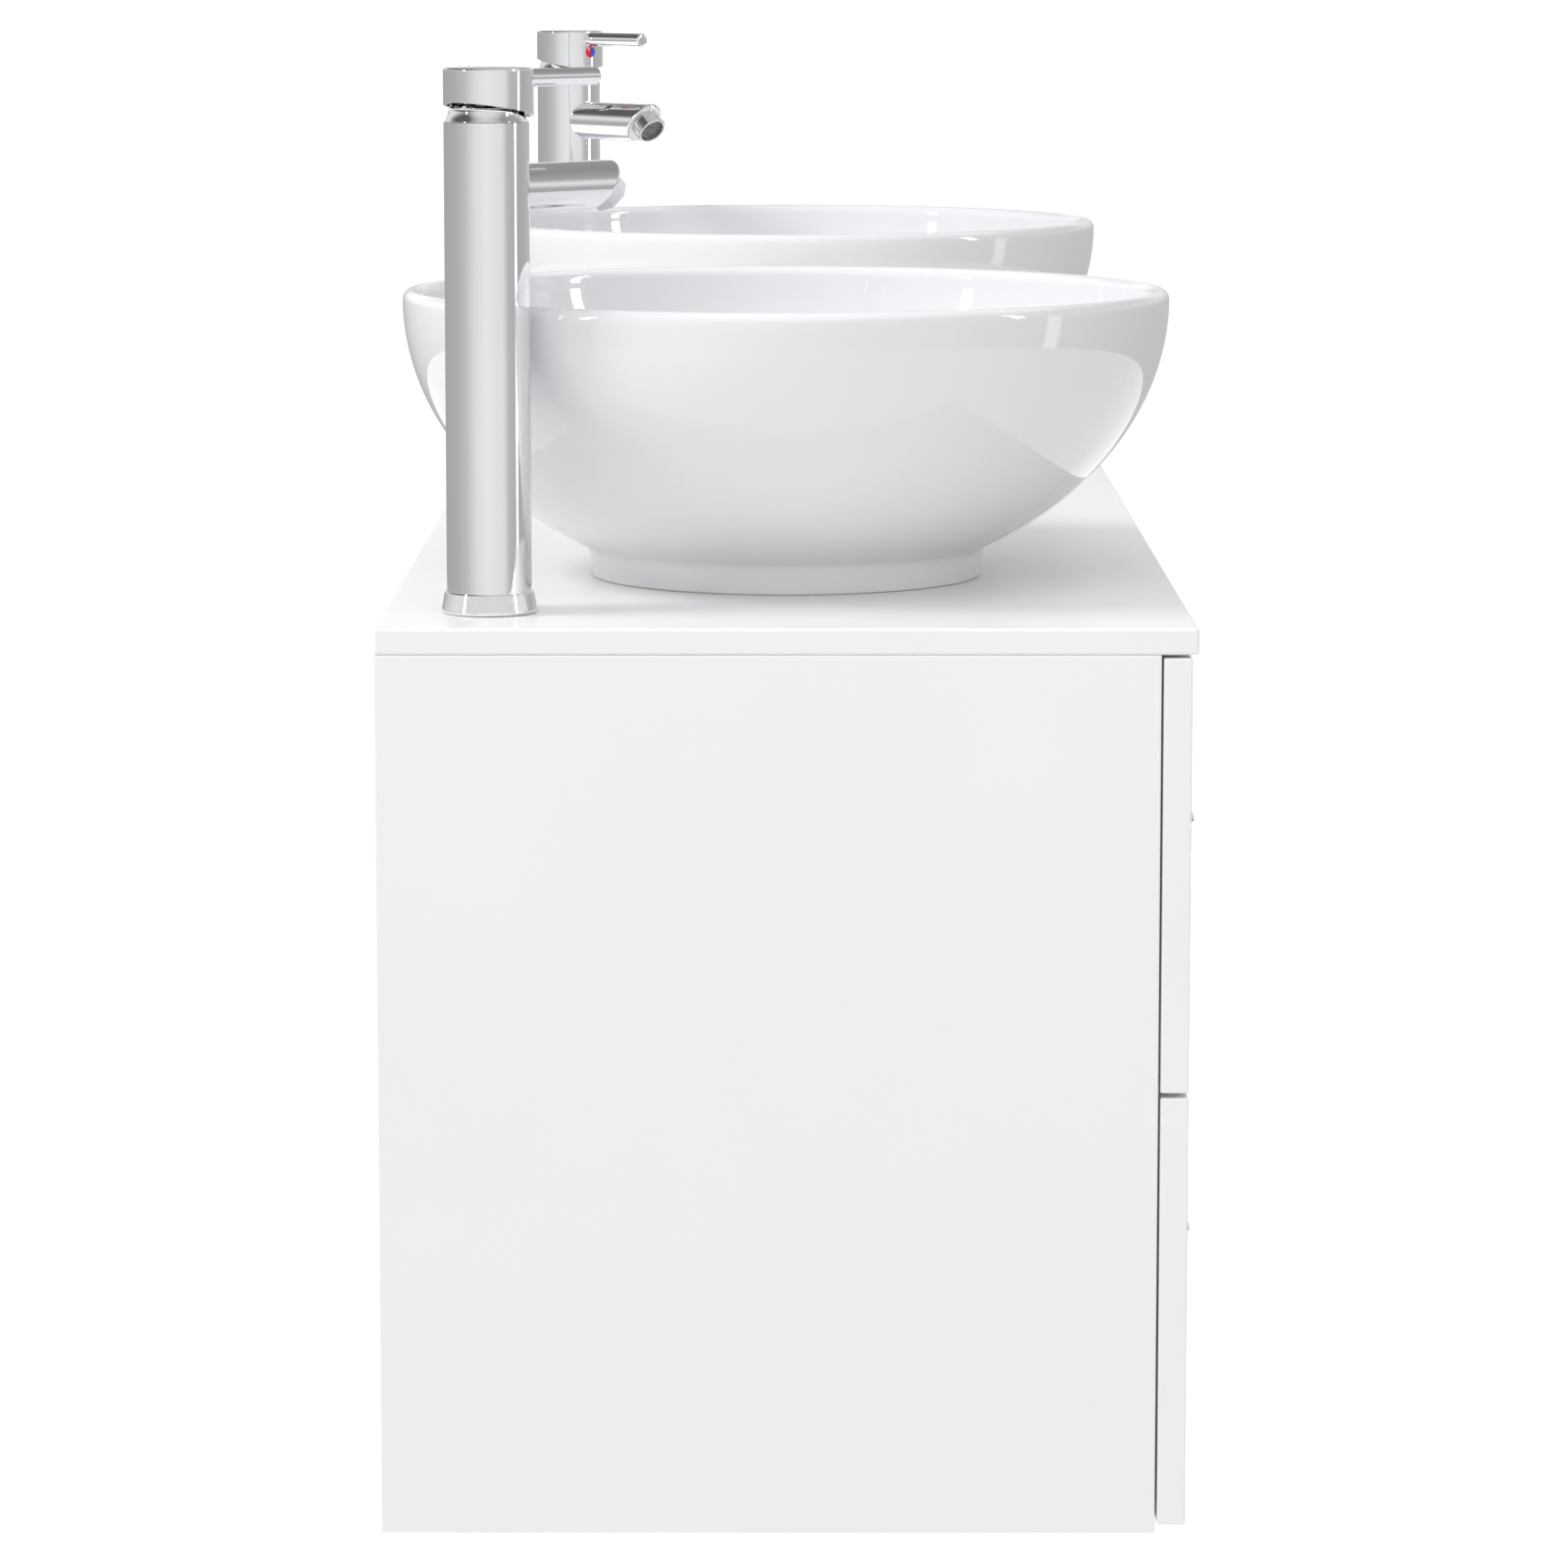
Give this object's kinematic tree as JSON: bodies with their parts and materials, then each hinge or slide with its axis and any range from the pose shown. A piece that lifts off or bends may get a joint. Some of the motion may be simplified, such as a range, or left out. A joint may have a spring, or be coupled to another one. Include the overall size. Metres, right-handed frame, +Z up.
{
  "type": "double vessel sink vanity",
  "caption": "Wall-hung drawer vanity with two round vessel basins, tall lever mixers, pop-up wastes, traps and soft round knobs.",
  "frame": {"origin": "centre of the four wall bolts, on the wall plane at the middle of the width", "axes": "+X along the width to the right of a user facing the drawers, +Y into the wall, +Z up; the drawers open towards -Y"},
  "size_m": [1.2, 0.4115, 0.7184],
  "materials": {
    "white_lacquer": "satin white lacquer on board",
    "carcass_board": "matt white melamine on particle board",
    "drawer_board": "matt pale grey melamine on board",
    "ceramic_glaze": "glossy white glaze",
    "chrome_trim": "polished chrome",
    "chrome_tap": "polished chrome on brass",
    "aerator_metal": "chromed housing with a dark mesh face",
    "chrome_knob": "polished chrome",
    "brass_rotor": "machined",
    "brass_nut": "machined",
    "index_plastic": "half red and half blue, glossy",
    "trap_plastic": "moulded white",
    "zinc_cam": "zinc",
    "runner_steel": "zinc plated"
  },
  "bodies": {
    "cabinet": {"aerators": "aerator_metal", "basin_left": "ceramic_glaze", "basin_right": "ceramic_glaze", "basin_wastes": "chrome_trim", "bottle_traps": "trap_plastic", "bottom_panel": "carcass_board", "cabinet_runners": "runner_steel", "cam_fittings": "zinc_cam", "centre_partition": "carcass_board", "countertop": "white_lacquer", "faucet_body_left": "chrome_tap", "faucet_body_right": "chrome_tap", "faucet_bonnets": "chrome_tap", "faucet_nuts": "brass_nut", "front_rails": "carcass_board", "hanging_rail": "carcass_board", "lower_wall_rail": "carcass_board", "side_panel_left": "white_lacquer", "side_panel_right": "white_lacquer", "trap_outlets": "trap_plastic", "trap_tails": "trap_plastic", "waste_nuts": "brass_nut"},
    "lower_left_drawer": {"lower_left_box_back": "drawer_board", "lower_left_box_base": "drawer_board", "lower_left_box_sides": "drawer_board", "lower_left_drawer_slides": "runner_steel", "lower_left_front": "white_lacquer", "lower_left_knobs": "chrome_knob"},
    "lower_left_runner": {"lower_left_middle_slides": "runner_steel"},
    "lower_right_drawer": {"lower_right_box_back": "drawer_board", "lower_right_box_base": "drawer_board", "lower_right_box_sides": "drawer_board", "lower_right_drawer_slides": "runner_steel", "lower_right_front": "white_lacquer", "lower_right_knobs": "chrome_knob"},
    "lower_right_runner": {"lower_right_middle_slides": "runner_steel"},
    "upper_left_drawer": {"upper_left_box_back": "drawer_board", "upper_left_box_base": "drawer_board", "upper_left_box_sides": "drawer_board", "upper_left_drawer_slides": "runner_steel", "upper_left_front": "white_lacquer", "upper_left_knobs": "chrome_knob"},
    "upper_left_runner": {"upper_left_middle_slides": "runner_steel"},
    "upper_right_drawer": {"upper_right_box_back": "drawer_board", "upper_right_box_base": "drawer_board", "upper_right_box_sides": "drawer_board", "upper_right_drawer_slides": "runner_steel", "upper_right_front": "white_lacquer", "upper_right_knobs": "chrome_knob"},
    "upper_right_runner": {"upper_right_middle_slides": "runner_steel"},
    "mixer_left": {"faucet_rotor_left": "brass_rotor"},
    "handle_left": {"handle_cap_left": "chrome_tap", "lever_left": "chrome_tap", "index_button_left": "index_plastic"},
    "plug_left": {"stopper_left": "chrome_trim"},
    "mixer_right": {"faucet_rotor_right": "brass_rotor"},
    "handle_right": {"handle_cap_right": "chrome_tap", "lever_right": "chrome_tap", "index_button_right": "index_plastic"},
    "plug_right": {"stopper_right": "chrome_trim"}
  },
  "joints": [
    {"name": "lower_left_drawer_slide", "type": "slide", "parent": "cabinet", "child": "lower_left_drawer", "axis": [0, -1, 0], "range_m": [0, 0.3]},
    {"name": "lower_left_runner_slide", "type": "slide", "parent": "cabinet", "child": "lower_left_runner", "axis": [0, -1, 0], "range_m": [0, 0.15]},
    {"name": "lower_right_drawer_slide", "type": "slide", "parent": "cabinet", "child": "lower_right_drawer", "axis": [0, -1, 0], "range_m": [0, 0.3]},
    {"name": "lower_right_runner_slide", "type": "slide", "parent": "cabinet", "child": "lower_right_runner", "axis": [0, -1, 0], "range_m": [0, 0.15]},
    {"name": "upper_left_drawer_slide", "type": "slide", "parent": "cabinet", "child": "upper_left_drawer", "axis": [0, -1, 0], "range_m": [0, 0.3]},
    {"name": "upper_left_runner_slide", "type": "slide", "parent": "cabinet", "child": "upper_left_runner", "axis": [0, -1, 0], "range_m": [0, 0.15]},
    {"name": "upper_right_drawer_slide", "type": "slide", "parent": "cabinet", "child": "upper_right_drawer", "axis": [0, -1, 0], "range_m": [0, 0.3]},
    {"name": "upper_right_runner_slide", "type": "slide", "parent": "cabinet", "child": "upper_right_runner", "axis": [0, -1, 0], "range_m": [0, 0.15]},
    {"name": "mixer_left_swivel", "type": "hinge", "parent": "cabinet", "child": "mixer_left", "pos_m": [-0.5315, -0.053, 0.4745], "axis": [0, 0, 1], "range_deg": [-45, 45]},
    {"name": "handle_left_lift", "type": "hinge", "parent": "mixer_left", "child": "handle_left", "pos_m": [-0.5315, -0.053, 0.4745], "axis": [-0.6508, -0.7593, 0], "range_deg": [0, 20]},
    {"name": "plug_left_lift", "type": "slide", "parent": "cabinet", "child": "plug_left", "axis": [0, 0, 1], "range_m": [0, 0.008]},
    {"name": "mixer_right_swivel", "type": "hinge", "parent": "cabinet", "child": "mixer_right", "pos_m": [0.5315, -0.053, 0.4745], "axis": [0, 0, 1], "range_deg": [-45, 45]},
    {"name": "handle_right_lift", "type": "hinge", "parent": "mixer_right", "child": "handle_right", "pos_m": [0.5315, -0.053, 0.4745], "axis": [-0.6508, 0.7593, 0], "range_deg": [0, 20]},
    {"name": "plug_right_lift", "type": "slide", "parent": "cabinet", "child": "plug_right", "axis": [0, 0, 1], "range_m": [0, 0.008]}
  ],
  "couplings": [
    {"joint": "lower_left_runner_slide", "follows": "lower_left_drawer_slide", "ratio": 0.5},
    {"joint": "lower_right_runner_slide", "follows": "lower_right_drawer_slide", "ratio": 0.5},
    {"joint": "upper_left_runner_slide", "follows": "upper_left_drawer_slide", "ratio": 0.5},
    {"joint": "upper_right_runner_slide", "follows": "upper_right_drawer_slide", "ratio": 0.5}
  ]
}
